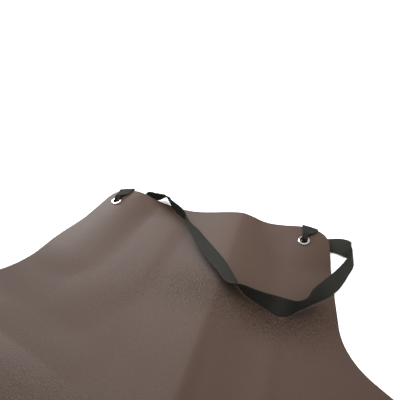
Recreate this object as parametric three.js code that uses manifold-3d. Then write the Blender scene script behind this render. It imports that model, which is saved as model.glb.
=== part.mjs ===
// A work apron cut from one sheet of faux leather, laid on a flat surface with its grain side up.
// A flat tape makes the neck strap: each end is bunched through a metal eyelet at a bib corner,
// folded over the bib's top edge and sewn down behind it. Two more eyelets at the waist take the ties.
// Millimetres, +Z up. Sizes on the sheet are given as x, to the wearer's left, and v, from the bib's
// top edge down to the hem. The part's own +Y runs the other way, from the hem to the bib.
import * as THREE from 'three';
import { mergeVertices } from 'three/addons/utils/BufferGeometryUtils.js';
import Module from 'manifold-3d';

// Sheet
const SHEET_THICK = 1.2;
const SHEET_COLUMNS = 28;
const CORNER_STEPS = 4;

// Right half of the cut outline, from the top edge to the hem: each corner and the radius rounding it
const OUTLINE_COLUMNS = ['corner', 'x', 'v', 'radius'];
const OUTLINE_ROWS = [
  ['bib', 138, 0, 19],
  ['armhole', 164.5, 149.5, 70],
  ['waist', 325, 249, 24],
  ['hem', 325, 900, 45],
];

// Longest step between grid rows of the sheet, down to the given v
const STEP_COLUMNS = ['downTo', 'step'];
const STEP_ROWS = [
  [135, 11],
  [320, 18],
  [Infinity, 80],
];

// Folds: each is a ridge, or a dent where its rise is negative, along a line from x0, v0 to x1, v1, with
// a height at each end. It dies out at reachA on the -X side of a line that runs down the apron and on
// the hem's side of a line that runs to +X, and at reachB on the other side. A blunt of 2 is a round
// crest, and a smaller one is sharper.
const FOLD_COLUMNS = ['fold', 'x0', 'v0', 'x1', 'v1', 'reachA', 'reachB', 'rise0', 'rise1', 'blunt'];
const FOLD_ROWS = [
  ['left bib corner', -113, -10, -130, 112, 47, 47, 13.5, 5, 2],
  ['lump over the strap', -88, -8, -78, -2, 34, 34, 4, 4, 2],
  ['left armhole', -165, 122, -105, 150, 68, 72, 8, 5, 2],
  ['right bib corner', 112, -5, 122, 8, 56, 50, 13.2, 12, 2],
  ['bib ridge', 37, -10, 44, 250, 75, 60, 15.3, 7, 1.5],
  ['ridge crease', 40, 100, 44, 255, 34, 15, 0, 3.2, 1.3],
  ['left slant', -38, 40, -46, 135, 50, 24, 1.8, 1.5, 1.7],
  ['right slant', 104, 165, 109, 225, 36, 14, 1.2, 1.8, 1.4],
  ['lower left swell', -185, 306, -15, 335, 90, 125, 13, 9.5, 2],
  ['lower left crease', -150, 222, -45, 248, 24, 28, -3, -1.5, 1.2],
  ['left waist corner', -299, 266, -307, 290, 90, 90, 6, 6, 2],
  ['right waist corner', 299, 266, 307, 290, 90, 90, 6, 6, 2],
  ['left skirt wave', -150, 430, -205, 905, 78, 78, 3, 13, 2],
  ['right skirt wave', 118, 470, 178, 905, 84, 84, 3, 11, 2],
];

// Eyelets: a domed flange on the grain side, a barrel through the sheet and a rolled rim behind
const EYELET_BORE_R = 3.7;
const EYELET_BARREL_R = 4.3;
const EYELET_FLANGE_R = 6.5;
const EYELET_ROLL_R = 5.6;
const EYELET_DOME = 1.3;
const EYELET_ROLL = 0.9;
const EYELET_TOP_GAP = 0.3;
const EYELET_BACK_GAP = 0.95;
const EYELET_SIDES = 20;
const SHEET_HOLE_R = 4.7;
const HOLE_CUTTER_HALF = 6;
const EYELET_COLUMNS = ['name', 'x', 'v'];
const EYELET_ROWS = [
  ['eyelet_bib_left', -122.5, 25],
  ['eyelet_bib_right', 113, 21],
  ['eyelet_waist_left', -303, 278],
  ['eyelet_waist_right', 303, 278],
];

// Neck strap: a flat tape
const STRAP_WIDTH = 20;
const STRAP_THICK = 1;
const STRAP_BUNCH_THICK = 3;
const STRAP_COLUMNS_ACROSS = 2;
const STRAP_STEP = 5;
const FLOOR = 0;
const SHEET = 1;

// Strap sections from the left sewn end to the right one. x and v place the middle of the tape, and
// rise is its height over the floor or over the sheet's grain side. aim is the plan direction across
// the tape, in degrees from +X towards the bib's top, tilt is how far that side of it is raised, and
// gather is the share of its width that is left where it is bunched.
const STRAP_TABLE_COLUMNS = ['x', 'v', 'over', 'rise', 'aim', 'tilt', 'gather'];
const STRAP_TABLE_ROWS = [
  [-120, 15, SHEET, -2.6, 190, 0, 0.95],
  [-121, 6, SHEET, -2.6, 190, 0, 0.95],
  [-120, 1, SHEET, -2.8, 190, 0, 0.95],
  [-120, -2.6, SHEET, -0.6, 190, 0, 0.92],
  [-120, 1, SHEET, 1.6, 190, 0, 0.9],
  [-121, 8, SHEET, 1.6, 190, 0, 0.8],
  [-122, 14, SHEET, 2.6, 185, 0, 0.5],
  [-122.5, 19.5, SHEET, 4, 180, 0, 0.34],
  [-122.5, 23.5, SHEET, 3.2, 175, 0, 0.26],
  [-122.5, 25, SHEET, -0.6, 165, 0, 0.25],
  [-122, 25, SHEET, -4.9, 140, 0, 0.28],
  [-116, 22, FLOOR, 5.5, 130, 0, 0.5],
  [-108.5, 15, FLOOR, 5.6, 132, 86, 0.44],
  [-101.5, 7, FLOOR, 5, 318, 6, 0.6],
  [-96, -3.4, FLOOR, 4, 306, 8, 0.86],
  [-91, -5.3, FLOOR, 7.2, 284, 72, 0.68],
  [-85.5, -4.4, FLOOR, 8.9, 268, 74, 0.84],
  [-79, -4.6, FLOOR, 9.6, 264, 66, 0.9],
  [-73, -5.6, FLOOR, 12, 256, 50, 0.96],
  [-68, -4.8, FLOOR, 13.2, 256, 40, 1],
  [-63.5, -1.6, FLOOR, 13.2, 252, 52, 1],
  [-58.5, 3.8, FLOOR, 13, 246, 70, 1],
  [-49.5, 10.5, FLOOR, 12.2, 238, 78, 1],
  [-41, 16.1, FLOOR, 12.2, 233, 80, 1],
  [-33.2, 21.4, FLOOR, 12.6, 232, 80, 1],
  [-26, 27, FLOOR, 13, 230, 74, 1],
  [-15, 39.5, FLOOR, 12.8, 222, 46, 1],
  [2, 59, FLOOR, 14.6, 220, 30, 1],
  [19, 77.5, FLOOR, 17, 220, 20, 1],
  [34, 92, FLOOR, 17.8, 220, 20, 1],
  [45, 104, FLOOR, 19, 215, 30, 1],
  [54.5, 113.5, FLOOR, 19, 226, 38, 1],
  [66, 117, FLOOR, 17.8, 235, 70, 1],
  [80, 119.2, FLOOR, 14.4, 285, 85, 1],
  [93, 120, FLOOR, 12, 45, 80, 1],
  [105, 122, FLOOR, 11.6, 48, 58, 1],
  [115, 119.5, FLOOR, 11.6, 32, 58, 1],
  [124.5, 112, FLOOR, 11.8, 0, 78, 1],
  [132, 100, FLOOR, 12, 160, 80, 1],
  [142, 87, FLOOR, 12.2, 160, 65, 1],
  [151, 72.5, FLOOR, 11.2, 155, 60, 1],
  [157, 59, FLOOR, 10.4, 155, 65, 1],
  [162, 46, FLOOR, 10.5, 155, 70, 1],
  [166, 36, FLOOR, 11, 155, 75, 1],
  [166, 29, FLOOR, 10.8, 135, 64, 0.98],
  [164, 24, FLOOR, 10.8, 125, 48, 0.94],
  [160, 17.6, FLOOR, 9.6, 104, 28, 0.94],
  [153, 11.6, FLOOR, 6.6, 96, 20, 0.96],
  [144, 8.6, FLOOR, 3, 98, 6, 1],
  [134, 11, FLOOR, 2, 110, 0, 0.9],
  [125, 14, FLOOR, 4, 120, 0, 0.6],
  [118, 18, FLOOR, 6.5, 135, 0, 0.36],
  [113.5, 20.2, SHEET, -4.9, 150, 0, 0.28],
  [113, 20.8, SHEET, -0.6, 165, 0, 0.25],
  [113, 20.3, SHEET, 3, 170, 0, 0.26],
  [113, 16, SHEET, 4, 180, 0, 0.34],
  [114.5, 10.5, SHEET, 2.6, 180, 0, 0.5],
  [116, 6, SHEET, 1.7, 175, 0, 0.8],
  [117, 1, SHEET, 1.7, 175, 0, 0.9],
  [117, -2.6, SHEET, -0.6, 175, 0, 0.92],
  [117, 1, SHEET, -2.8, 175, 0, 0.95],
  [117, 6, SHEET, -2.6, 175, 0, 0.95],
  [116, 13, SHEET, -2.6, 175, 0, 0.95],
];

const leather = new THREE.MeshStandardMaterial({ color: 0x67564e, roughness: 0.5, metalness: 0 });
const webbing = new THREE.MeshStandardMaterial({ color: 0x2c2d2b, roughness: 0.85, metalness: 0 });
const nickel = new THREE.MeshStandardMaterial({ color: 0xc9c5bd, roughness: 0.25, metalness: 1 });

// Turns rows of plain values into records with named columns.
function records(columns, rows) {
  return rows.map((row) => Object.fromEntries(columns.map((name, index) => [name, row[index]])));
}

const folds = records(FOLD_COLUMNS, FOLD_ROWS);
const steps = records(STEP_COLUMNS, STEP_ROWS);

// Height of the grain side: the sheet's thickness plus every fold, each its rise times (1 - q^blunt)^2 at
// a share q of its reach from the fold's line.
function grainHeight(x, v) {
  let height = SHEET_THICK;
  for (const { x0, v0, x1, v1, reachA, reachB, rise0, rise1, blunt } of folds) {
    const dx = x1 - x0;
    const dv = v1 - v0;
    const along = THREE.MathUtils.clamp(((x - x0) * dx + (v - v0) * dv) / (dx * dx + dv * dv), 0, 1);
    const away = Math.hypot(x - x0 - along * dx, v - v0 - along * dv);
    const square = (dx * (v - v0) - dv * (x - x0)) / Math.hypot(dx, dv);
    const side = away > 0 ? square / away : 0;
    const reach = THREE.MathUtils.lerp(reachB, reachA, (1 + side) / 2);
    const share = Math.min(away / reach, 1);
    height += THREE.MathUtils.lerp(rise0, rise1, along) * (1 - share ** blunt) ** 2;
  }
  return height;
}

// Height over the sheet, carried on level past the bib's top edge.
function heightNear(x, v) {
  return grainHeight(x, Math.max(v, 0));
}

// Half of the outline as points (half width, v): each corner's arc, in order down the apron.
function outlineArcs() {
  const corners = records(OUTLINE_COLUMNS, OUTLINE_ROWS);
  const points = corners.map(({ x, v }) => new THREE.Vector2(x, v));
  const top = new THREE.Vector2(0, points[0].y);
  const hem = new THREE.Vector2(0, points.at(-1).y);
  const chain = [top, ...points, hem];
  const arcs = [];
  corners.forEach(({ radius }, index) => {
    const corner = chain[index + 1];
    const back = chain[index].clone().sub(corner).normalize();
    const ahead = chain[index + 2].clone().sub(corner).normalize();
    const halfAngle = Math.acos(back.dot(ahead)) / 2;
    const toCentre = back.clone().add(ahead).setLength(radius / Math.sin(halfAngle));
    const centre = corner.clone().add(toCentre);
    const inset = radius / Math.tan(halfAngle);
    const from = corner.clone().addScaledVector(back, inset).sub(centre);
    const to = corner.clone().addScaledVector(ahead, inset).sub(centre);
    const turn = Math.atan2(from.cross(to), from.dot(to));
    for (let k = 0; k <= CORNER_STEPS; k += 1) {
      const angle = (turn * k) / CORNER_STEPS;
      arcs.push(from.clone().rotateAround(new THREE.Vector2(), angle).add(centre));
    }
  });
  return arcs;
}

// Grid rows of the sheet: the outline's own points, with the straight stretches cut into short steps.
function sheetRows() {
  const arcs = outlineArcs();
  const rows = [arcs[0]];
  for (let k = 1; k < arcs.length; k += 1) {
    const from = arcs[k - 1];
    const to = arcs[k];
    const stepAt = (v) => steps.find(({ downTo }) => v < downTo).step;
    for (let v = from.y + stepAt(from.y); v < to.y - stepAt(v) / 2; v += stepAt(v)) {
      rows.push(from.clone().lerp(to, (v - from.y) / (to.y - from.y)));
    }
    rows.push(to);
  }
  return rows;
}

// Closed slab between two grids of points, front and back, whose rows and columns match. The front
// faces the way of (next row) x (next column).
function slabGeometry(front, back) {
  const rowCount = front.length;
  const columnCount = front[0].length;
  const positions = [...front.flat(), ...back.flat()].flatMap((point) => point.toArray());
  const frontIndex = (row, column) => row * columnCount + column;
  const backShift = rowCount * columnCount;
  const index = [];
  const rim = [];
  for (let row = 0; row < rowCount - 1; row += 1) {
    for (let column = 0; column < columnCount - 1; column += 1) {
      const a = frontIndex(row, column);
      const b = frontIndex(row + 1, column);
      const c = frontIndex(row + 1, column + 1);
      const d = frontIndex(row, column + 1);
      index.push(a, b, c, a, c, d);
      index.push(c + backShift, b + backShift, a + backShift);
      index.push(d + backShift, c + backShift, a + backShift);
    }
  }
  for (let row = 0; row < rowCount - 1; row += 1) rim.push(frontIndex(row, 0));
  for (let column = 0; column < columnCount - 1; column += 1) rim.push(frontIndex(rowCount - 1, column));
  for (let row = rowCount - 1; row > 0; row -= 1) rim.push(frontIndex(row, columnCount - 1));
  for (let column = columnCount - 1; column > 0; column -= 1) rim.push(frontIndex(0, column));
  rim.forEach((p, place) => {
    const q = rim[(place + 1) % rim.length];
    index.push(p, p + backShift, q + backShift, p, q + backShift, q);
  });
  const geometry = new THREE.BufferGeometry();
  geometry.setAttribute('position', new THREE.Float32BufferAttribute(positions, 3));
  geometry.setIndex(index);
  return geometry;
}

// Point on the grain side, in the part's own axes, with y measured from the bib's top edge.
function onGrain(x, v) {
  return new THREE.Vector3(x, -v, grainHeight(x, v));
}

// Direction square to the grain side at a point of the sheet.
function grainNormal(x, v) {
  const reach = 3;
  const slopeX = (grainHeight(x + reach, v) - grainHeight(x - reach, v)) / (2 * reach);
  const slopeV = (grainHeight(x, v + reach) - grainHeight(x, v - reach)) / (2 * reach);
  return new THREE.Vector3(-slopeX, slopeV, 1).normalize();
}

// Places a piece made about +Z so that its origin is on the grain side and its axis square to it.
function seatOnGrain(object, x, v) {
  object.position.copy(onGrain(x, v));
  object.quaternion.setFromUnitVectors(new THREE.Vector3(0, 0, 1), grainNormal(x, v));
  object.updateMatrix();
  return object;
}

const wasm = await Module();
wasm.setup();

function toSolid(geometry) {
  const plain = geometry.clone();
  plain.deleteAttribute('normal');
  plain.deleteAttribute('uv');
  const merged = mergeVertices(plain);
  const vertProperties = Float32Array.from(merged.attributes.position.array);
  const triVerts = Uint32Array.from(merged.index.array);
  return new wasm.Manifold(new wasm.Mesh({ numProp: 3, vertProperties, triVerts }));
}

function toGeometry(solid) {
  const mesh = solid.getMesh();
  const geometry = new THREE.BufferGeometry();
  geometry.setAttribute('position', new THREE.BufferAttribute(mesh.vertProperties, 3));
  geometry.setIndex(new THREE.BufferAttribute(mesh.triVerts, 1));
  geometry.computeVertexNormals();
  return geometry;
}

// The sheet: a grid over the outline, raised by the folds, with a hole cut square through it for
// each eyelet.
function sheetGeometry(eyelets) {
  const shares = Array.from({ length: SHEET_COLUMNS + 1 }, (_, k) => (2 * k) / SHEET_COLUMNS - 1);
  const top = sheetRows().map(({ x: half, y: v }) => shares.map((share) => onGrain(share * half, v)));
  const down = new THREE.Vector3(0, 0, -SHEET_THICK);
  const under = top.map((row) => row.map((point) => point.clone().add(down)));
  let solid = toSolid(slabGeometry(top, under));
  for (const { x, v } of eyelets) {
    const cutter = new THREE.CylinderGeometry(SHEET_HOLE_R, SHEET_HOLE_R, 2 * HOLE_CUTTER_HALF, EYELET_SIDES);
    cutter.rotateX(Math.PI / 2);
    const seat = seatOnGrain(new THREE.Object3D(), x, v);
    solid = solid.subtract(toSolid(cutter.applyMatrix4(seat.matrix)));
  }
  return toGeometry(solid);
}

// One eyelet turned about +Z, with the grain side at z = 0.
function eyeletGeometry() {
  const seat = EYELET_TOP_GAP;
  const crown = seat + EYELET_DOME;
  const back = -SHEET_THICK - EYELET_BACK_GAP;
  const foot = back - EYELET_ROLL;
  const lip = 0.3;
  const profile = [
    [EYELET_BORE_R, crown - lip],
    [EYELET_BORE_R, foot + lip],
    [EYELET_BARREL_R, foot],
    [EYELET_ROLL_R - lip, foot],
    [EYELET_ROLL_R, back - EYELET_ROLL / 2],
    [EYELET_ROLL_R - lip, back],
    [EYELET_BARREL_R, back],
    [EYELET_BARREL_R, seat],
    [EYELET_FLANGE_R, seat],
    [EYELET_FLANGE_R - lip, seat + EYELET_DOME * 0.6],
    [EYELET_FLANGE_R - 4 * lip, crown],
    [EYELET_BARREL_R, crown],
    [EYELET_BORE_R, crown - lip],
  ];
  const points = profile.map(([radius, height]) => new THREE.Vector2(radius, height));
  const ring = new THREE.LatheGeometry(points, EYELET_SIDES);
  ring.rotateX(Math.PI / 2);
  return toGeometry(toSolid(ring));
}

// Smooth curve through the values of a table at the given stations: a cubic on each stretch, whose
// slopes at the stations weigh the two neighbouring stretches by their lengths.
function smoothCurve(stations, values) {
  const last = stations.length - 1;
  const pace = (k) => (values[k + 1] - values[k]) / (stations[k + 1] - stations[k]);
  const slope = values.map((_, k) => {
    if (k === 0) return pace(0);
    if (k === last) return pace(last - 1);
    const before = stations[k] - stations[k - 1];
    const after = stations[k + 1] - stations[k];
    return (pace(k - 1) * after + pace(k) * before) / (before + after);
  });
  return (k, u) => {
    const span = stations[k + 1] - stations[k];
    const w = 1 - u;
    const ends = (1 + 2 * u) * w * w * values[k] + u * u * (3 - 2 * u) * values[k + 1];
    return ends + span * u * w * (w * slope[k] - u * slope[k + 1]);
  };
}

// The strap as a slab: its middle line, the direction across it and its bunching run smoothly
// through the table's sections, and where a section lies over the sheet the tape bends to it.
function strapGeometry() {
  const sections = records(STRAP_TABLE_COLUMNS, STRAP_TABLE_ROWS);
  const centres = sections.map(({ x, v, over, rise }) => {
    const base = over === SHEET ? heightNear(x, v) : 0;
    return new THREE.Vector3(x, -v, base + rise);
  });
  const across = sections.map(({ aim, tilt }) => {
    const turn = THREE.MathUtils.degToRad(aim);
    const lift = THREE.MathUtils.degToRad(tilt);
    const level = Math.cos(lift);
    return new THREE.Vector3(level * Math.cos(turn), level * Math.sin(turn), Math.sin(lift));
  });
  const stations = [0];
  centres.slice(1).forEach((centre, k) => stations.push(stations[k] + centre.distanceTo(centres[k])));
  const curve = (values) => smoothCurve(stations, values);
  const vectorCurve = (vectors) => {
    const parts = ['x', 'y', 'z'].map((axis) => curve(vectors.map((vector) => vector[axis])));
    return (k, u) => new THREE.Vector3(...parts.map((part) => part(k, u)));
  };
  const centreAt = vectorCurve(centres);
  const acrossAt = vectorCurve(across);
  const gatherAt = curve(sections.map(({ gather }) => gather));
  const hugAt = curve(sections.map(({ over }) => over));

  const places = [];
  for (let k = 0; k < sections.length - 1; k += 1) {
    const count = Math.max(2, Math.round((stations[k + 1] - stations[k]) / STRAP_STEP));
    for (let part = 0; part < count; part += 1) places.push([k, part / count]);
  }
  places.push([sections.length - 2, 1]);

  const nudge = 0.01;
  const front = [];
  const back = [];
  for (const [k, u] of places) {
    const centre = centreAt(k, u);
    const along = centreAt(k, Math.min(u + nudge, 1)).sub(centreAt(k, Math.max(u - nudge, 0))).normalize();
    const side = acrossAt(k, u);
    side.addScaledVector(along, -side.dot(along)).normalize();
    const outward = along.clone().cross(side);
    const gather = gatherAt(k, u);
    const halfThick = Math.min(STRAP_THICK / gather, STRAP_BUNCH_THICK) / 2;
    const hug = THREE.MathUtils.clamp(hugAt(k, u), 0, 1);
    const middleHeight = heightNear(centre.x, -centre.y);
    const line = [];
    for (let column = 0; column <= STRAP_COLUMNS_ACROSS; column += 1) {
      const share = (2 * column) / STRAP_COLUMNS_ACROSS - 1;
      const point = centre.clone().addScaledVector(side, (share * gather * STRAP_WIDTH) / 2);
      point.z += hug * (heightNear(point.x, -point.y) - middleHeight);
      line.push(point);
    }
    front.push(line.map((point) => point.clone().addScaledVector(outward, halfThick)));
    back.push(line.map((point) => point.clone().addScaledVector(outward, -halfThick)));
  }
  return slabGeometry(front, back);
}

function addPiece(group, name, geometry, material) {
  const mesh = new THREE.Mesh(geometry, material);
  mesh.name = name;
  group.add(mesh);
  return mesh;
}

const apron = new THREE.Group();
const eyelets = records(EYELET_COLUMNS, EYELET_ROWS);
addPiece(apron, 'apron_sheet', sheetGeometry(eyelets), leather);
addPiece(apron, 'neck_strap', strapGeometry(), webbing);
for (const { name, x, v } of eyelets) {
  seatOnGrain(addPiece(apron, name, eyeletGeometry(), nickel), x, v);
}

// The origin is on the surface, under the middle of the laid apron.
const box = new THREE.Box3().setFromObject(apron);
const middle = box.getCenter(new THREE.Vector3());
apron.position.set(-middle.x, -middle.y, 0);

export default apron;
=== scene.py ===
"""A faux leather work apron laid on a pale floor, with its neck strap looped over the bib.

Shapes are worked out in millimetres in the sheet's own measures: x across the apron, v from the bib's top
edge down to the hem, z up from the floor. on_frame turns them into the part's frame, in metres.
"""

import bpy
import numpy as np
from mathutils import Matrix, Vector


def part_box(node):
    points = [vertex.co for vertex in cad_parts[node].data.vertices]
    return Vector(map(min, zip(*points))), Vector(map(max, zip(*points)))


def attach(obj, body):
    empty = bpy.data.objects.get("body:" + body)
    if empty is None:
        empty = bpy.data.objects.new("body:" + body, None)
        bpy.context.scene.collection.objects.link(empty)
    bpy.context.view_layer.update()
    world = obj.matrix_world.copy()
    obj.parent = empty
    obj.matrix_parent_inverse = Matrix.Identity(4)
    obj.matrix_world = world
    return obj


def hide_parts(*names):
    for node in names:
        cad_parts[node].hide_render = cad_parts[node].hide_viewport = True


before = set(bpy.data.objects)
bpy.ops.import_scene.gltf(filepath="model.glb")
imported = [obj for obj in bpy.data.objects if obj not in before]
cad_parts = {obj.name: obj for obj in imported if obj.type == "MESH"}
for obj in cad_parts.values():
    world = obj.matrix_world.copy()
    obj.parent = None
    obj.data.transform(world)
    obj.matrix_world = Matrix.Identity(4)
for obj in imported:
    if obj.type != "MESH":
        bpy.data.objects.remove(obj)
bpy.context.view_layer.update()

MM = 0.001
BIB_TOP_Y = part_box("apron_sheet")[1].y / MM

# Sheet
SHEET_THICK = 1.2
SHEET_LENGTH = 900
SHEET_COLUMNS = 176
CORNER_STEPS = 12
FINE_ROW = 2.2
COARSE_ROW = 9
FINE_DOWN_TO = 320
CUT_EDGE_ROUND = 0.22
CUT_EDGE_STEPS = 6

# Right half of the cut outline, from the top edge to the hem: each corner and the radius rounding it
OUTLINE = (
    ("corner", "x", "v", "radius"),
    ("bib", 138, 0, 19),
    ("armhole", 164.5, 149.5, 70),
    ("waist", 325, 249, 24),
    ("hem", 325, 900, 45),
)

# Waves and creases: each runs along a line, with its rise at both ends and its reach to either side
FOLDS = (
    ("fold", "x0", "v0", "x1", "v1", "reach_a", "reach_b", "rise0", "rise1", "blunt"),
    ("left bib corner", -113, -10, -130, 112, 47, 47, 13.5, 5, 2),
    ("lump over the strap", -88, -8, -78, -2, 34, 34, 4, 4, 2),
    ("left armhole", -165, 122, -105, 150, 68, 72, 8, 5, 2),
    ("right bib corner", 112, -5, 122, 8, 56, 50, 13.2, 12, 2),
    ("bib ridge", 37, -10, 44, 250, 75, 60, 15.3, 7, 1.5),
    ("ridge crease", 40, 100, 44, 255, 34, 15, 0, 3.2, 1.3),
    ("left slant", -38, 40, -46, 135, 50, 24, 1.8, 1.5, 1.7),
    ("right slant", 104, 165, 109, 225, 36, 14, 1.2, 1.8, 1.4),
    ("lower left swell", -185, 306, -15, 335, 90, 125, 13, 9.5, 2),
    ("lower left crease", -150, 222, -45, 248, 24, 28, -3, -1.5, 1.2),
    ("left waist corner", -299, 266, -307, 290, 90, 90, 6, 6, 2),
    ("right waist corner", 299, 266, 307, 290, 90, 90, 6, 6, 2),
    ("left skirt wave", -150, 430, -205, 905, 78, 78, 3, 13, 2),
    ("right skirt wave", 118, 470, 178, 905, 84, 84, 3, 11, 2),
)

# Depth of the embossed grain, as a share of the deepest. The same depth darkens the creases with painted
# shade, so the deep patches below and beside the strap paint its shadow on the leather.
GRAIN_PLAIN = 0.12
GRAIN = (
    ("patch", "x", "v", "reach_x", "reach_v", "depth"),
    ("lower left", -80, 272, 68, 32, 0.32),
    ("below the strap's bend", 100, 131, 52, 22, 0.75),
    ("below the strap's right run", 142, 110, 22, 16, 0.55),
    ("beside the strap", 20, 122, 40, 26, 0.45),
    ("bib middle", -40, 115, 60, 45, 0.15),
)

# Eyelets
EYELET_BORE_R = 3.7
EYELET_BARREL_R = 4.3
EYELET_FLANGE_R = 6.5
EYELET_ROLL_R = 5.6
EYELET_DOME = 1.3
EYELET_ROLL = 0.9
EYELET_TOP_GAP = 0.3
EYELET_BACK_GAP = 0.95
EYELET_SIDES = 56
EYELET_ARC_STEPS = 18
EYELET_SLOPE_REACH = 3
SHEET_HOLE_R = 4.9

EYELETS = (
    ("name", "x", "v"),
    ("eyelet_bib_left", -122.5, 25),
    ("eyelet_bib_right", 113, 21),
    ("eyelet_waist_left", -303, 278),
    ("eyelet_waist_right", 303, 278),
)

# Neck strap
STRAP_WIDTH = 20
STRAP_THICK = 1
STRAP_BUNCH_THICK = 3
STRAP_ROW = 1.2
STRAP_COLUMNS = 20
STRAP_PLEATS = 3
STRAP_EDGE_POWER = 26
FLOOR = 0
SHEET = 1

# The strap's middle line from one hidden end to the other: its rise over the floor or the sheet, the way
# its width points in plan and upwards, in degrees, and the share of the width that is left where it bunches
STRAP = (
    ("x", "v", "over", "rise", "aim", "tilt", "gather"),
    (-120, 15, SHEET, -2.6, 190, 0, 0.95),
    (-121, 6, SHEET, -2.6, 190, 0, 0.95),
    (-120, 1, SHEET, -2.8, 190, 0, 0.95),
    (-120, -2.6, SHEET, -0.6, 190, 0, 0.92),
    (-120, 1, SHEET, 1.6, 190, 0, 0.9),
    (-121, 8, SHEET, 1.6, 190, 0, 0.8),
    (-122, 14, SHEET, 2.6, 185, 0, 0.5),
    (-122.5, 19.5, SHEET, 4, 180, 0, 0.34),
    (-122.5, 23.5, SHEET, 3.2, 175, 0, 0.26),
    (-122.5, 25, SHEET, -0.6, 165, 0, 0.25),
    (-122, 25, SHEET, -4.9, 140, 0, 0.28),
    (-116, 22, FLOOR, 5.5, 130, 0, 0.5),
    (-108.5, 15, FLOOR, 5.6, 132, 86, 0.44),
    (-101.5, 7, FLOOR, 5, 318, 6, 0.6),
    (-96, -3.4, FLOOR, 4, 306, 8, 0.86),
    (-91, -5.3, FLOOR, 7.2, 284, 72, 0.68),
    (-85.5, -4.4, FLOOR, 8.9, 268, 74, 0.84),
    (-79, -4.6, FLOOR, 9.6, 264, 66, 0.9),
    (-73, -5.6, FLOOR, 12, 256, 50, 0.96),
    (-68, -4.8, FLOOR, 13.2, 256, 40, 1),
    (-63.5, -1.6, FLOOR, 13.2, 252, 52, 1),
    (-58.5, 3.8, FLOOR, 13, 246, 70, 1),
    (-49.5, 10.5, FLOOR, 12.2, 238, 78, 1),
    (-41, 16.1, FLOOR, 12.2, 233, 80, 1),
    (-33.2, 21.4, FLOOR, 12.6, 232, 80, 1),
    (-26, 27, FLOOR, 13, 230, 74, 1),
    (-15, 39.5, FLOOR, 12.8, 222, 46, 1),
    (2, 59, FLOOR, 14.6, 220, 30, 1),
    (19, 77.5, FLOOR, 17, 220, 20, 1),
    (34, 92, FLOOR, 17.8, 220, 20, 1),
    (45, 104, FLOOR, 19, 215, 30, 1),
    (54.5, 113.5, FLOOR, 19, 226, 38, 1),
    (66, 117, FLOOR, 17.8, 235, 70, 1),
    (80, 119.2, FLOOR, 14.4, 285, 85, 1),
    (93, 120, FLOOR, 12, 45, 80, 1),
    (105, 122, FLOOR, 11.6, 48, 58, 1),
    (115, 119.5, FLOOR, 11.6, 32, 58, 1),
    (124.5, 112, FLOOR, 11.8, 0, 78, 1),
    (132, 100, FLOOR, 12, 160, 80, 1),
    (142, 87, FLOOR, 12.2, 160, 65, 1),
    (151, 72.5, FLOOR, 11.2, 155, 60, 1),
    (157, 59, FLOOR, 10.4, 155, 65, 1),
    (162, 46, FLOOR, 10.5, 155, 70, 1),
    (166, 36, FLOOR, 11, 155, 75, 1),
    (166, 29, FLOOR, 10.8, 135, 64, 0.98),
    (164, 24, FLOOR, 10.8, 125, 48, 0.94),
    (160, 17.6, FLOOR, 9.6, 104, 28, 0.94),
    (153, 11.6, FLOOR, 6.6, 96, 20, 0.96),
    (144, 8.6, FLOOR, 3, 98, 6, 1),
    (134, 11, FLOOR, 2, 110, 0, 0.9),
    (125, 14, FLOOR, 4, 120, 0, 0.6),
    (118, 18, FLOOR, 6.5, 135, 0, 0.36),
    (113.5, 20.2, SHEET, -4.9, 150, 0, 0.28),
    (113, 20.8, SHEET, -0.6, 165, 0, 0.25),
    (113, 20.3, SHEET, 3, 170, 0, 0.26),
    (113, 16, SHEET, 4, 180, 0, 0.34),
    (114.5, 10.5, SHEET, 2.6, 180, 0, 0.5),
    (116, 6, SHEET, 1.7, 175, 0, 0.8),
    (117, 1, SHEET, 1.7, 175, 0, 0.9),
    (117, -2.6, SHEET, -0.6, 175, 0, 0.92),
    (117, 1, SHEET, -2.8, 175, 0, 0.95),
    (117, 6, SHEET, -2.6, 175, 0, 0.95),
    (116, 13, SHEET, -2.6, 175, 0, 0.95),
)

# Finishes: sizes and depths of their patterns. PEBBLE_STRETCH draws the pebbles out across the apron,
# PEBBLE_CREASE is how far a crease reaches into a pebble, and lint is counted per millimetre of the tape
LEATHER_CLOUD = 26
PEBBLE = 2.0
PEBBLE_STRETCH = (0.75, 1.0, 1.0)
PEBBLE_BEND = 5
PEBBLE_BEND_PUSH = 2.2
PEBBLE_CREASE = 0.24
PEBBLE_DEPTH = 0.3
PORE = 0.5
PORE_DEPTH = 0.04
EDGE_FIBRE = 0.8
EDGE_FIBRE_DEPTH = 0.2
NAP = 1.2
NAP_DEPTH = 0.3
TAPE_WEFT = 1.1
TAPE_WARP = 0.9
TAPE_RIB_DEPTH = 0.25
TAPE_LINT_SCALE = 1.2
NICKEL_SCUFF = 1.6
NICKEL_DENT = 0.1
CARD_CLOUD = 40

# Floor and light
FLOOR_REACH = 5000
FLOOR_DROP = 0.3
SURROUND = 1.2
SOFT_BOXES = (
    ("name", "x", "v", "z", "aim_x", "aim_v", "size", "power", "matt", "gloss"),
    ("overhead", 0, 45, 300, 0, 46, 300, 1.47, True, False),
    ("back_left", -400, -200, 300, -40, 120, 300, 11, False, True),
)

# Camera: where it stands over the sheet, and how far it looks down and turns, in degrees
CAMERA_X = 112.6
CAMERA_V = 376.5
CAMERA_Z = 316.8
CAMERA_DOWN = 36.5
CAMERA_TURN = 19.2
CAMERA_LENS = 36
CAMERA_SENSOR = 36
CAMERA_NEAR = 10


def columns(table):
    """A table's columns by name, as arrays: the first row holds the names."""
    names, *rows = table
    return {name: np.array(values) for name, values in zip(names, zip(*rows))}


def on_frame(x, v, z):
    """Points of the part's frame, in metres, from the sheet's own measures in millimetres."""
    return np.stack(np.broadcast_arrays(x, BIB_TOP_Y - v, z), axis=-1) * MM


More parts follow.
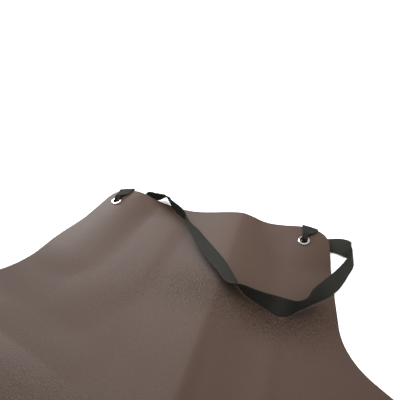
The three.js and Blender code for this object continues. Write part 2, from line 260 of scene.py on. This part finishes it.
def grain_height(x, v):
    """Height of the grain side: the thickness plus each fold's rise times (1 - q^blunt)^2, where q is the
    distance from the fold's line as a share of its reach. Round the line, the reach turns from reach_a on
    one side of it to reach_b on the other."""
    height = np.full(np.broadcast(x, v).shape, float(SHEET_THICK))
    for _, x0, v0, x1, v1, reach_a, reach_b, rise0, rise1, blunt in FOLDS[1:]:
        dx, dv = x1 - x0, v1 - v0
        along = np.clip(((x - x0) * dx + (v - v0) * dv) / (dx * dx + dv * dv), 0, 1)
        away = np.maximum(np.hypot(x - x0 - along * dx, v - v0 - along * dv), 1e-9)
        side = (dx * (v - v0) - dv * (x - x0)) / (np.hypot(dx, dv) * away)
        reach = (reach_a + reach_b + (reach_a - reach_b) * side) / 2
        share = np.minimum(away / reach, 1)
        height = height + (rise0 + (rise1 - rise0) * along) * (1 - share**blunt) ** 2
    return height


def height_near(x, v):
    """Height over the sheet, carried on level past the bib's top edge."""
    return grain_height(x, np.maximum(v, 0))


def grain_and_shade_depth(x, v):
    """Depth of the grain, which also sets the painted shade in its creases: the plain depth plus each
    patch's own, which fades away as a bell curve.
    """
    depth = np.full(np.broadcast(x, v).shape, GRAIN_PLAIN)
    for _, patch_x, patch_v, reach_x, reach_v, deeper in GRAIN[1:]:
        depth += deeper * np.exp(-((x - patch_x) / reach_x) ** 2 - ((v - patch_v) / reach_v) ** 2)
    return depth.clip(0, 1)


def make_piece(name, points, faces, materials, face_material=None, uv=None, grain=None):
    """One smooth mesh object at the origin, with its materials and, where given, a UV map and the depth of
    its grain and of its painted crease shade at each point."""
    mesh = bpy.data.meshes.new(name)
    mesh.from_pydata(points.reshape(-1, 3).tolist(), [], faces)
    mesh.polygons.foreach_set("use_smooth", np.ones(len(mesh.polygons), bool))
    for material in materials:
        mesh.materials.append(material)
    if face_material is not None:
        mesh.polygons.foreach_set("material_index", np.asarray(face_material, np.int32))
    if uv is not None:
        corners = np.empty(len(mesh.loops), np.int32)
        mesh.loops.foreach_get("vertex_index", corners)
        layer = mesh.uv_layers.new(name="tape")
        layer.uv.foreach_set("vector", uv.reshape(-1, 2)[corners].astype(np.float32).ravel())
    if grain is not None:
        layer = mesh.attributes.new("grain_and_shade_depth", "FLOAT", "POINT")
        layer.data.foreach_set("value", grain.astype(np.float32))
    mesh.update()
    piece = bpy.data.objects.new(name, mesh)
    bpy.context.scene.collection.objects.link(piece)
    return piece


def outline_points():
    """Half of the cut outline as (half width, v): every corner is the arc of its radius that touches
    both of the straight edges meeting there."""
    corners = columns(OUTLINE)
    chain = np.array([(0, corners["v"][0]), *zip(corners["x"], corners["v"]), (0, corners["v"][-1])], float)
    arcs = []
    for before, corner, after, radius in zip(chain, chain[1:], chain[2:], corners["radius"]):
        back = (before - corner) / np.linalg.norm(before - corner)
        ahead = (after - corner) / np.linalg.norm(after - corner)
        half_angle = np.arccos(back @ ahead) / 2
        bisector = (back + ahead) / np.linalg.norm(back + ahead)
        centre = corner + bisector * radius / np.sin(half_angle)
        spoke = corner + back * radius / np.tan(half_angle) - centre
        end = corner + ahead * radius / np.tan(half_angle) - centre
        turn = np.arctan2(spoke[0] * end[1] - spoke[1] * end[0], spoke @ end)
        angle = np.linspace(0, turn, CORNER_STEPS + 1)[:, None]
        arcs.append(centre + np.cos(angle) * spoke + np.sin(angle) * spoke[::-1] * (-1, 1))
    return np.concatenate(arcs)


def open_edges(quads):
    """Directed edges that belong to one face only, as an array of vertex pairs."""
    edges = np.concatenate([quads[:, [k, (k + 1) % 4]] for k in range(4)])
    size = quads.max() + 1
    forward = edges[:, 0] * size + edges[:, 1]
    backward = edges[:, 1] * size + edges[:, 0]
    return edges[~np.isin(forward, backward)]


def apron_sheet(grain, cut_edge, backing):
    """The sheet: points (u times the half width at v, v) raised to the grain's height, with cells left
    out at the eyelet holes and their rims drawn to circles. The underside is the same grid one thickness
    lower, and every open edge is closed by a half-round strip."""
    outline = outline_points()
    fine = np.arange(0, FINE_DOWN_TO, FINE_ROW)
    coarse = np.arange(FINE_DOWN_TO, SHEET_LENGTH, COARSE_ROW)
    rows = np.unique(np.concatenate([outline[:, 1], fine, coarse]).clip(0, SHEET_LENGTH).round(2))
    share = np.linspace(-1, 1, SHEET_COLUMNS + 1)
    half = np.interp(rows, outline[:, 1], outline[:, 0])
    x = (half[:, None] * share).ravel()
    v = np.repeat(rows, len(share))

    index = np.arange(x.size).reshape(len(rows), len(share))
    cells = [index[:-1, :-1], index[1:, :-1], index[1:, 1:], index[:-1, 1:]]
    quads = np.stack(cells, axis=-1).reshape(-1, 4)
    holes = columns(EYELETS)
    for hole_x, hole_v in zip(holes["x"], holes["v"]):
        away = np.hypot(x[quads].mean(1) - hole_x, v[quads].mean(1) - hole_v)
        quads = quads[away > SHEET_HOLE_R]
    rim = open_edges(quads)
    for hole_x, hole_v in zip(holes["x"], holes["v"]):
        on_rim = np.unique(rim)
        away = np.hypot(x[on_rim] - hole_x, v[on_rim] - hole_v)
        near = on_rim[away < 2 * SHEET_HOLE_R]
        pull = SHEET_HOLE_R / away[away < 2 * SHEET_HOLE_R]
        x[near] = hole_x + (x[near] - hole_x) * pull
        v[near] = hole_v + (v[near] - hole_v) * pull

    # Outward direction in plan at each rim vertex, summed from its two edges
    out = np.zeros((x.size, 2))
    step = np.stack([x[rim[:, 1]] - x[rim[:, 0]], v[rim[:, 1]] - v[rim[:, 0]]], axis=-1)
    edge_out = np.stack([-step[:, 1], step[:, 0]], axis=-1)
    edge_out = edge_out / np.linalg.norm(edge_out, axis=1, keepdims=True)
    for end in (0, 1):
        np.add.at(out, rim[:, end], edge_out)
    length = np.linalg.norm(out, axis=1, keepdims=True)
    out = np.divide(out, length, out=np.zeros_like(out), where=length > 0)

    z = grain_height(x, v)
    layers = []
    for angle in np.linspace(0, np.pi, CUT_EDGE_STEPS + 1):
        bulge = CUT_EDGE_ROUND * np.sin(angle)
        drop = SHEET_THICK * (1 - np.cos(angle)) / 2
        layers.append(on_frame(x + bulge * out[:, 0], v + bulge * out[:, 1], z - drop))
    strips = [
        np.stack([rim[:, 0] + k * x.size, rim[:, 0] + (k + 1) * x.size,
                  rim[:, 1] + (k + 1) * x.size, rim[:, 1] + k * x.size], axis=-1)
        for k in range(len(layers) - 1)
    ]
    under = quads[:, ::-1] + (len(layers) - 1) * x.size
    faces = np.concatenate([quads, *strips, under])
    kinds = np.repeat([0, 1, 2], [len(quads), len(rim) * len(strips), len(under)])
    used, faces = np.unique(faces, return_inverse=True)
    points = np.concatenate(layers)[used]
    depth = np.tile(grain_and_shade_depth(x, v), len(layers))[used]
    piece = make_piece("apron", points, faces.reshape(-1, 4).tolist(), [grain, cut_edge, backing], kinds,
                       grain=depth)
    area = (half[1:] + half[:-1]) @ np.diff(rows) * MM * MM
    return piece, float(area)


def smooth_curve(stations, values, at):
    """Values at new stations on a cubic through the given ones, whose slope at each station weighs the two
    neighbouring stretches by their lengths."""
    values = np.asarray(values, float).reshape(len(stations), -1)
    span = np.diff(stations)[:, None]
    pace = np.diff(values, axis=0) / span
    between = (pace[:-1] * span[1:] + pace[1:] * span[:-1]) / (span[1:] + span[:-1])
    slope = np.concatenate([pace[:1], between, pace[-1:]])
    k = np.clip(np.searchsorted(stations, at, side="right") - 1, 0, len(span) - 1)
    u = ((at - stations[k]) / span[k, 0])[:, None]
    w = 1 - u
    ends = (1 + 2 * u) * w * w * values[k] + u * u * (3 - 2 * u) * values[k + 1]
    return ends + span[k] * u * w * (w * slope[k] - u * slope[k + 1])


def neck_strap(tape):
    """The tape: a thin section with round edges carried along the middle line of the table, turned to each
    row's direction across it. Where it is bunched its width shrinks and it folds into pleats, and where it
    lies over the sheet it bends to it."""
    rows = columns(STRAP)
    x, v, over, rise = (rows[name].astype(float) for name in ("x", "v", "over", "rise"))
    aim, tilt = np.radians(rows["aim"]), np.radians(rows["tilt"])
    centres = np.stack([x, -v, rise + over * height_near(x, v)], axis=-1)
    across = np.stack([np.cos(tilt) * np.cos(aim), np.cos(tilt) * np.sin(aim), np.sin(tilt)], axis=-1)
    stations = np.concatenate([[0], np.cumsum(np.linalg.norm(np.diff(centres, axis=0), axis=1))])
    at = np.linspace(0, stations[-1], int(stations[-1] / STRAP_ROW))

    centre = smooth_curve(stations, centres, at)
    along = np.gradient(centre, at, axis=0)
    along /= np.linalg.norm(along, axis=1, keepdims=True)
    side = smooth_curve(stations, across, at)
    side -= (side * along).sum(1, keepdims=True) * along
    side /= np.linalg.norm(side, axis=1, keepdims=True)
    outward = np.cross(along, side)
    gather = smooth_curve(stations, rows["gather"], at)
    hug = smooth_curve(stations, over, at).clip(0, 1)

    front = np.sin(np.linspace(-np.pi / 2, np.pi / 2, STRAP_COLUMNS + 1))
    share = np.concatenate([front, front[-2:0:-1]])
    face = np.concatenate([np.ones(len(front)), -np.ones(len(front) - 2)])
    swell = face * np.sqrt(1 - np.abs(share) ** STRAP_EDGE_POWER) * STRAP_THICK / 2
    pleat = (np.minimum(STRAP_THICK / gather, STRAP_BUNCH_THICK) - STRAP_THICK) / 2
    lift = swell + pleat * np.cos(STRAP_PLEATS * np.pi * share)

    middle = centre[:, None] + side[:, None] * (share * gather * STRAP_WIDTH / 2)[..., None]
    base = height_near(centre[:, 0], -centre[:, 1])[:, None]
    middle[..., 2] += hug * (height_near(middle[..., 0], -middle[..., 1]) - base)
    points = middle + outward[:, None] * lift[..., None]

    ring = len(share)
    index = np.arange(points.shape[0] * ring).reshape(-1, ring)
    turned = np.roll(index, -1, axis=1)
    quads = np.stack([index[:-1], index[1:], turned[1:], turned[:-1]], axis=-1).reshape(-1, 4)
    caps = [index[0].tolist(), index[-1, ::-1].tolist()]
    length = np.linalg.norm(np.diff(centre, axis=0), axis=1)
    run = np.concatenate([[0], np.cumsum(length)])
    uv = np.stack(np.broadcast_arrays(share * STRAP_WIDTH / 2, run[:, None]), axis=-1)
    points = on_frame(points[..., 0], -points[..., 1], points[..., 2])
    piece = make_piece("strap", points, quads.tolist() + caps, [tape], uv=uv)
    return piece, float(run[-1]) * MM


def eyelet(name, x, v, nickel):
    """One eyelet: a closed profile turned about its axis. The profile is a half ellipse for the domed
    flange, the bore, a half ellipse for the rolled rim behind and the barrel, and the axis is square to
    the grain side."""
    seat = EYELET_TOP_GAP
    back = -SHEET_THICK - EYELET_BACK_GAP
    angle = np.linspace(0, np.pi, EYELET_ARC_STEPS + 1)
    crown_mid = (EYELET_FLANGE_R + EYELET_BORE_R) / 2
    crown_half = (EYELET_FLANGE_R - EYELET_BORE_R) / 2
    roll_mid = (EYELET_ROLL_R + EYELET_BORE_R) / 2
    roll_half = (EYELET_ROLL_R - EYELET_BORE_R) / 2
    crown = np.stack([crown_mid + crown_half * np.cos(angle), seat + EYELET_DOME * np.sin(angle)], axis=-1)
    roll = np.stack([roll_mid - roll_half * np.cos(angle), back - EYELET_ROLL * np.sin(angle)], axis=-1)
    barrel = np.array([(EYELET_BARREL_R, back), (EYELET_BARREL_R, seat)])
    radius, height = np.concatenate([crown, roll, barrel]).T

    reach = EYELET_SLOPE_REACH
    slope_x = (grain_height(x + reach, v) - grain_height(x - reach, v)) / (2 * reach)
    slope_v = (grain_height(x, v + reach) - grain_height(x, v - reach)) / (2 * reach)
    axis = np.array([-slope_x, slope_v, 1.0])
    axis /= np.linalg.norm(axis)
    first = np.cross((0, 1, 0), axis)
    first /= np.linalg.norm(first)
    second = np.cross(axis, first)
    turn = np.linspace(0, 2 * np.pi, EYELET_SIDES, endpoint=False)[:, None, None]
    spoke = np.cos(turn) * first + np.sin(turn) * second
    local = spoke * radius[:, None] + axis * height[:, None]
    points = on_frame(x + local[..., 0], v - local[..., 1], grain_height(x, v) + local[..., 2])

    index = np.arange(EYELET_SIDES * len(radius)).reshape(EYELET_SIDES, -1)
    next_side = np.roll(index, -1, axis=0)
    next_point = np.roll(index, -1, axis=1)
    both = np.roll(next_side, -1, axis=1)
    quads = np.stack([index, next_side, both, next_point], axis=-1).reshape(-1, 4)
    return make_piece(name.replace("eyelet", "ring"), points, quads.tolist(), [nickel])


def linear(hex_colour):
    """A linear colour with alpha from an sRGB hex value."""
    parts = np.array([int(hex_colour[k:k + 2], 16) for k in (1, 3, 5)]) / 255
    light = np.where(parts <= 0.04045, parts / 12.92, ((parts + 0.055) / 1.055) ** 2.4)
    return (*light.tolist(), 1.0)


def add(tree, kind, links=None, values=None, **settings):
    """Adds a node: settings are its own properties, values its socket constants and links its inputs."""
    node = tree.nodes.new("ShaderNode" + kind)
    for name, setting in settings.items():
        setattr(node, name, setting)
    for socket, value in (values or {}).items():
        node.inputs[socket].default_value = value
    for socket, source in (links or {}).items():
        tree.links.new(source, node.inputs[socket])
    return node


def new_material(name, **values):
    """A material with a Principled surface, whose sockets take the given constants."""
    material = bpy.data.materials.new(name)
    material.use_nodes = True
    surface = material.node_tree.nodes["Principled BSDF"]
    for socket, value in values.items():
        surface.inputs[socket.replace("_", " ")].default_value = value
    return material, material.node_tree, surface


def per_cell(size):
    """Texture scale on Object coordinates, in metres, for cells of the given size in millimetres."""
    return 1 / (size * MM)


def pebbled_polyurethane():
    """Polyurethane skin on cloth, embossed by a grained roller: soft pebbles with fine creases between
    them and a satin top, so that low light breaks into small glints. The creases are darkened with
    painted shade, deeper where the grain is deeper. The pebbles are drawn about half as coarse again as
    real ones, so that they show."""
    material, tree, surface = new_material("pebbled_polyurethane", IOR=1.5, Specular_IOR_Level=0.2)
    place = add(tree, "TexCoord").outputs["Object"]
    drift = add(tree, "TexNoise", {"Vector": place}, {"Scale": per_cell(LEATHER_CLOUD), "Detail": 2.0})
    depth = add(tree, "Attribute", attribute_name="grain_and_shade_depth").outputs["Fac"]
    warp = add(tree, "TexNoise", {"Vector": place}, {"Scale": per_cell(PEBBLE_BEND), "Detail": 2.0})
    shift = add(tree, "VectorMath", {0: warp.outputs["Color"]}, {1: (0.5, 0.5, 0.5)}, operation="SUBTRACT")
    push = add(tree, "VectorMath", {0: shift.outputs[0]}, {"Scale": PEBBLE_BEND_PUSH * MM},
               operation="SCALE")
    bent = add(tree, "VectorMath", {0: place, 1: push.outputs[0]}, operation="ADD").outputs[0]
    drawn = add(tree, "Mapping", {"Vector": bent}, {"Scale": PEBBLE_STRETCH}).outputs[0]
    pebble = add(tree, "TexVoronoi", {"Vector": drawn}, {"Scale": per_cell(PEBBLE)},
                 feature="DISTANCE_TO_EDGE")
    crease = add(tree, "MapRange", {"Value": pebble.outputs["Distance"]},
                 {"From Max": PEBBLE_CREASE, "To Min": 1.0, "To Max": 0.0},
                 interpolation_type="SMOOTHSTEP").outputs[0]
    sunk_and_shade = add(tree, "Math", {0: crease, 1: depth}, operation="MULTIPLY").outputs[0]
    pores = add(tree, "TexNoise", {"Vector": place}, {"Scale": per_cell(PORE), "Detail": 3.0})

    # Painted shade: the tone darkens from #3f3129 on the pebbles to #261d18 deep in the creases.
    tone = add(tree, "ValToRGB", {"Fac": sunk_and_shade})
    tone.color_ramp.elements[0].color = linear("#3f3129")
    tone.color_ramp.elements[1].color = linear("#261d18")
    tint = add(tree, "ValToRGB", {"Fac": drift.outputs["Fac"]})
    tint.color_ramp.elements[0].position = 0.35
    tint.color_ramp.elements[0].color = linear("#fef9fd")
    tint.color_ramp.elements[1].position = 0.65
    tint.color_ramp.elements[1].color = linear("#fffef8")
    colour = add(tree, "VectorMath", {0: tone.outputs["Color"], 1: tint.outputs["Color"]},
                 operation="MULTIPLY")
    tree.links.new(colour.outputs[0], surface.inputs["Base Color"])
    gloss = add(tree, "MapRange", {"Value": sunk_and_shade}, {"To Min": 0.76, "To Max": 0.9})
    tree.links.new(gloss.outputs[0], surface.inputs["Roughness"])

    fine = add(tree, "Bump", {"Height": pores.outputs["Fac"]},
               {"Strength": 0.3, "Distance": PORE_DEPTH * MM})
    grain = add(tree, "Bump", {"Height": sunk_and_shade, "Normal": fine.outputs[0]},
                {"Strength": 1.0, "Distance": PEBBLE_DEPTH * MM}, invert=True)
    tree.links.new(grain.outputs[0], surface.inputs["Normal"])
    return material


def raw_cut_edge():
    """The knife-cut edge of coated cloth: dark skin over a paler fibrous core, quite matt."""
    material, tree, surface = new_material("raw_cut_edge", Roughness=0.8)
    place = add(tree, "TexCoord").outputs["Object"]
    fibre = add(tree, "TexNoise", {"Vector": place}, {"Scale": per_cell(EDGE_FIBRE), "Detail": 4.0})
    tone = add(tree, "ValToRGB", {"Fac": fibre.outputs["Fac"]})
    tone.color_ramp.elements[0].color = linear("#2b221e")
    tone.color_ramp.elements[1].color = linear("#51433b")
    tree.links.new(tone.outputs["Color"], surface.inputs["Base Color"])
    rough = add(tree, "Bump", {"Height": fibre.outputs["Fac"]},
                {"Strength": 0.6, "Distance": EDGE_FIBRE_DEPTH * MM})
    tree.links.new(rough.outputs[0], surface.inputs["Normal"])
    return material


def brushed_backing():
    """Brushed polyester cloth behind the skin: matt, warm grey-brown, with a short nap."""
    material, tree, surface = new_material("brushed_backing", Roughness=0.95, Sheen_Weight=0.3,
                                           Sheen_Roughness=0.6)
    place = add(tree, "TexCoord").outputs["Object"]
    nap = add(tree, "TexNoise", {"Vector": place}, {"Scale": per_cell(NAP), "Detail": 5.0})
    tone = add(tree, "ValToRGB", {"Fac": nap.outputs["Fac"]})
    tone.color_ramp.elements[0].color = linear("#4a3d36")
    tone.color_ramp.elements[1].color = linear("#78685e")
    tree.links.new(tone.outputs["Color"], surface.inputs["Base Color"])
    fuzz = add(tree, "Bump", {"Height": nap.outputs["Fac"]}, {"Strength": 0.7, "Distance": NAP_DEPTH * MM})
    tree.links.new(fuzz.outputs[0], surface.inputs["Normal"])
    return material


def per_rib(pitch):
    """Wave texture scale, on a map in millimetres, for ribs of the given pitch."""
    return np.pi / (10 * pitch)


def woven_tape():
    """Black polyester tape, woven in cross ribs: matt and slightly cloudy, with a trace of sheen where
    light grazes it. The ribs are drawn about twice as coarse as real ones, so that they show."""
    material, tree, surface = new_material("woven_tape", Roughness=0.8, Specular_IOR_Level=0.04,
                                           Sheen_Weight=0.01, Sheen_Roughness=0.4,
                                           Sheen_Tint=linear("#b9bcb4"))
    place = add(tree, "UVMap", uv_map="tape").outputs["UV"]
    weft = add(tree, "TexWave", {"Vector": place}, {"Scale": per_rib(TAPE_WEFT)}, bands_direction="Y")
    warp = add(tree, "TexWave", {"Vector": place}, {"Scale": per_rib(TAPE_WARP)}, bands_direction="X")
    lint = add(tree, "TexNoise", {"Vector": place}, {"Scale": TAPE_LINT_SCALE, "Detail": 4.0})
    knot = add(tree, "Math", {0: weft.outputs["Fac"], 1: warp.outputs["Fac"]}, operation="MULTIPLY")
    tone = add(tree, "ValToRGB", {"Fac": knot.outputs[0]})
    tone.color_ramp.elements[0].color = linear("#1d1d1b")
    tone.color_ramp.elements[1].color = linear("#393834")
    cloud = add(tree, "MapRange", {"Value": lint.outputs["Fac"]}, {"To Min": 0.7, "To Max": 1.3})
    colour = add(tree, "VectorMath", {0: tone.outputs["Color"], "Scale": cloud.outputs[0]},
                 operation="SCALE")
    tree.links.new(colour.outputs[0], surface.inputs["Base Color"])
    rib = add(tree, "Bump", {"Height": knot.outputs[0]}, {"Strength": 0.8, "Distance": TAPE_RIB_DEPTH * MM})
    tree.links.new(rib.outputs[0], surface.inputs["Normal"])
    return material


def bright_nickel():
    """Nickel-plated brass, pressed and barrel polished: a warm bright metal with fine random scuffs."""
    material, tree, surface = new_material("bright_nickel", Metallic=1.0, Base_Color=linear("#b2aea8"))
    place = add(tree, "TexCoord").outputs["Object"]
    scuff = add(tree, "TexNoise", {"Vector": place}, {"Scale": per_cell(NICKEL_SCUFF), "Detail": 4.0})
    gloss = add(tree, "MapRange", {"Value": scuff.outputs["Fac"]}, {"To Min": 0.05, "To Max": 0.16})
    tree.links.new(gloss.outputs[0], surface.inputs["Roughness"])
    dents = add(tree, "Bump", {"Height": scuff.outputs["Fac"]},
                {"Strength": 0.25, "Distance": NICKEL_DENT * MM})
    tree.links.new(dents.outputs[0], surface.inputs["Normal"])
    return material


def matt_white_card():
    """White seamless card under the apron: matt, with a cloudiness that hardly shows."""
    material, tree, surface = new_material("matt_white_card", Roughness=0.9, Specular_IOR_Level=0.2)
    place = add(tree, "TexCoord").outputs["Object"]
    tooth = add(tree, "TexNoise", {"Vector": place}, {"Scale": per_cell(CARD_CLOUD), "Detail": 2.0})
    tone = add(tree, "ValToRGB", {"Fac": tooth.outputs["Fac"]})
    tone.color_ramp.elements[0].color = linear("#f4f3f1")
    tone.color_ramp.elements[1].color = linear("#f8f8f6")
    tree.links.new(tone.outputs["Color"], surface.inputs["Base Color"])
    return material


def pale_floor():
    """A wide level card just under the apron."""
    across = np.array([(-1, -1), (1, -1), (1, 1), (-1, 1)]) * FLOOR_REACH
    corners = np.column_stack([across, np.full(len(across), -FLOOR_DROP)]) * MM
    floor = make_piece("floor", corners, [[0, 1, 2, 3]], [matt_white_card()])
    return floor


def soft_box(name, x, v, z, aim_x, aim_v, size, power, matt, gloss):
    """A square area light over the sheet, turned towards a point of it, that lights matt or glossy
    reflection or both. The camera doesn't see the box itself."""
    light = bpy.data.lights.new(name, "AREA")
    light.shape = "SQUARE"
    light.size = size * MM
    light.energy = power
    lamp = bpy.data.objects.new(name, light)
    lamp.visible_camera = False
    lamp.visible_diffuse = matt
    lamp.visible_glossy = gloss
    lamp.location = on_frame(x, v, z).tolist()
    towards = Vector(on_frame(aim_x, aim_v, 0).tolist()) - lamp.location
    lamp.rotation_euler = towards.to_track_quat("-Z", "Y").to_euler()
    bpy.context.scene.collection.objects.link(lamp)


def studio():
    """A bright even surround, a soft box overhead for the matt tones, which fade away from the bib, and one
    behind the bib to the left for the sheen on the folds."""
    world = bpy.data.worlds.new("surround")
    world.use_nodes = True
    sky = world.node_tree.nodes["Background"]
    sky.inputs["Color"].default_value = (1.0, 1.0, 1.0, 1.0)
    sky.inputs["Strength"].default_value = SURROUND
    bpy.context.scene.world = world
    for row in SOFT_BOXES[1:]:
        soft_box(*row)
    bpy.context.scene.view_settings.view_transform = "Standard"


def camera():
    """The photo's view: over the hem's side, turned to the left and looking down at the bib."""
    data = bpy.data.cameras.new("camera")
    data.lens = CAMERA_LENS
    data.sensor_width = CAMERA_SENSOR
    data.clip_start = CAMERA_NEAR * MM
    stand = bpy.data.objects.new("camera", data)
    stand.location = on_frame(CAMERA_X, CAMERA_V, CAMERA_Z).tolist()
    stand.rotation_euler = (np.radians(90 - CAMERA_DOWN), 0, np.radians(CAMERA_TURN))
    bpy.context.scene.collection.objects.link(stand)
    bpy.context.scene.camera = stand


def dress(piece, node):
    """A piece stands for a node of the part, which it hides, and moves with the only body."""
    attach(piece, "root")
    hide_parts(node)


camera()
studio()
floor = pale_floor()

apron, apron_area = apron_sheet(pebbled_polyurethane(), raw_cut_edge(), brushed_backing())
dress(apron, "apron_sheet")

strap, strap_length = neck_strap(woven_tape())
dress(strap, "neck_strap")

plate = bright_nickel()
for node, x, v in EYELETS[1:]:
    dress(eyelet(node, x, v, plate), node)
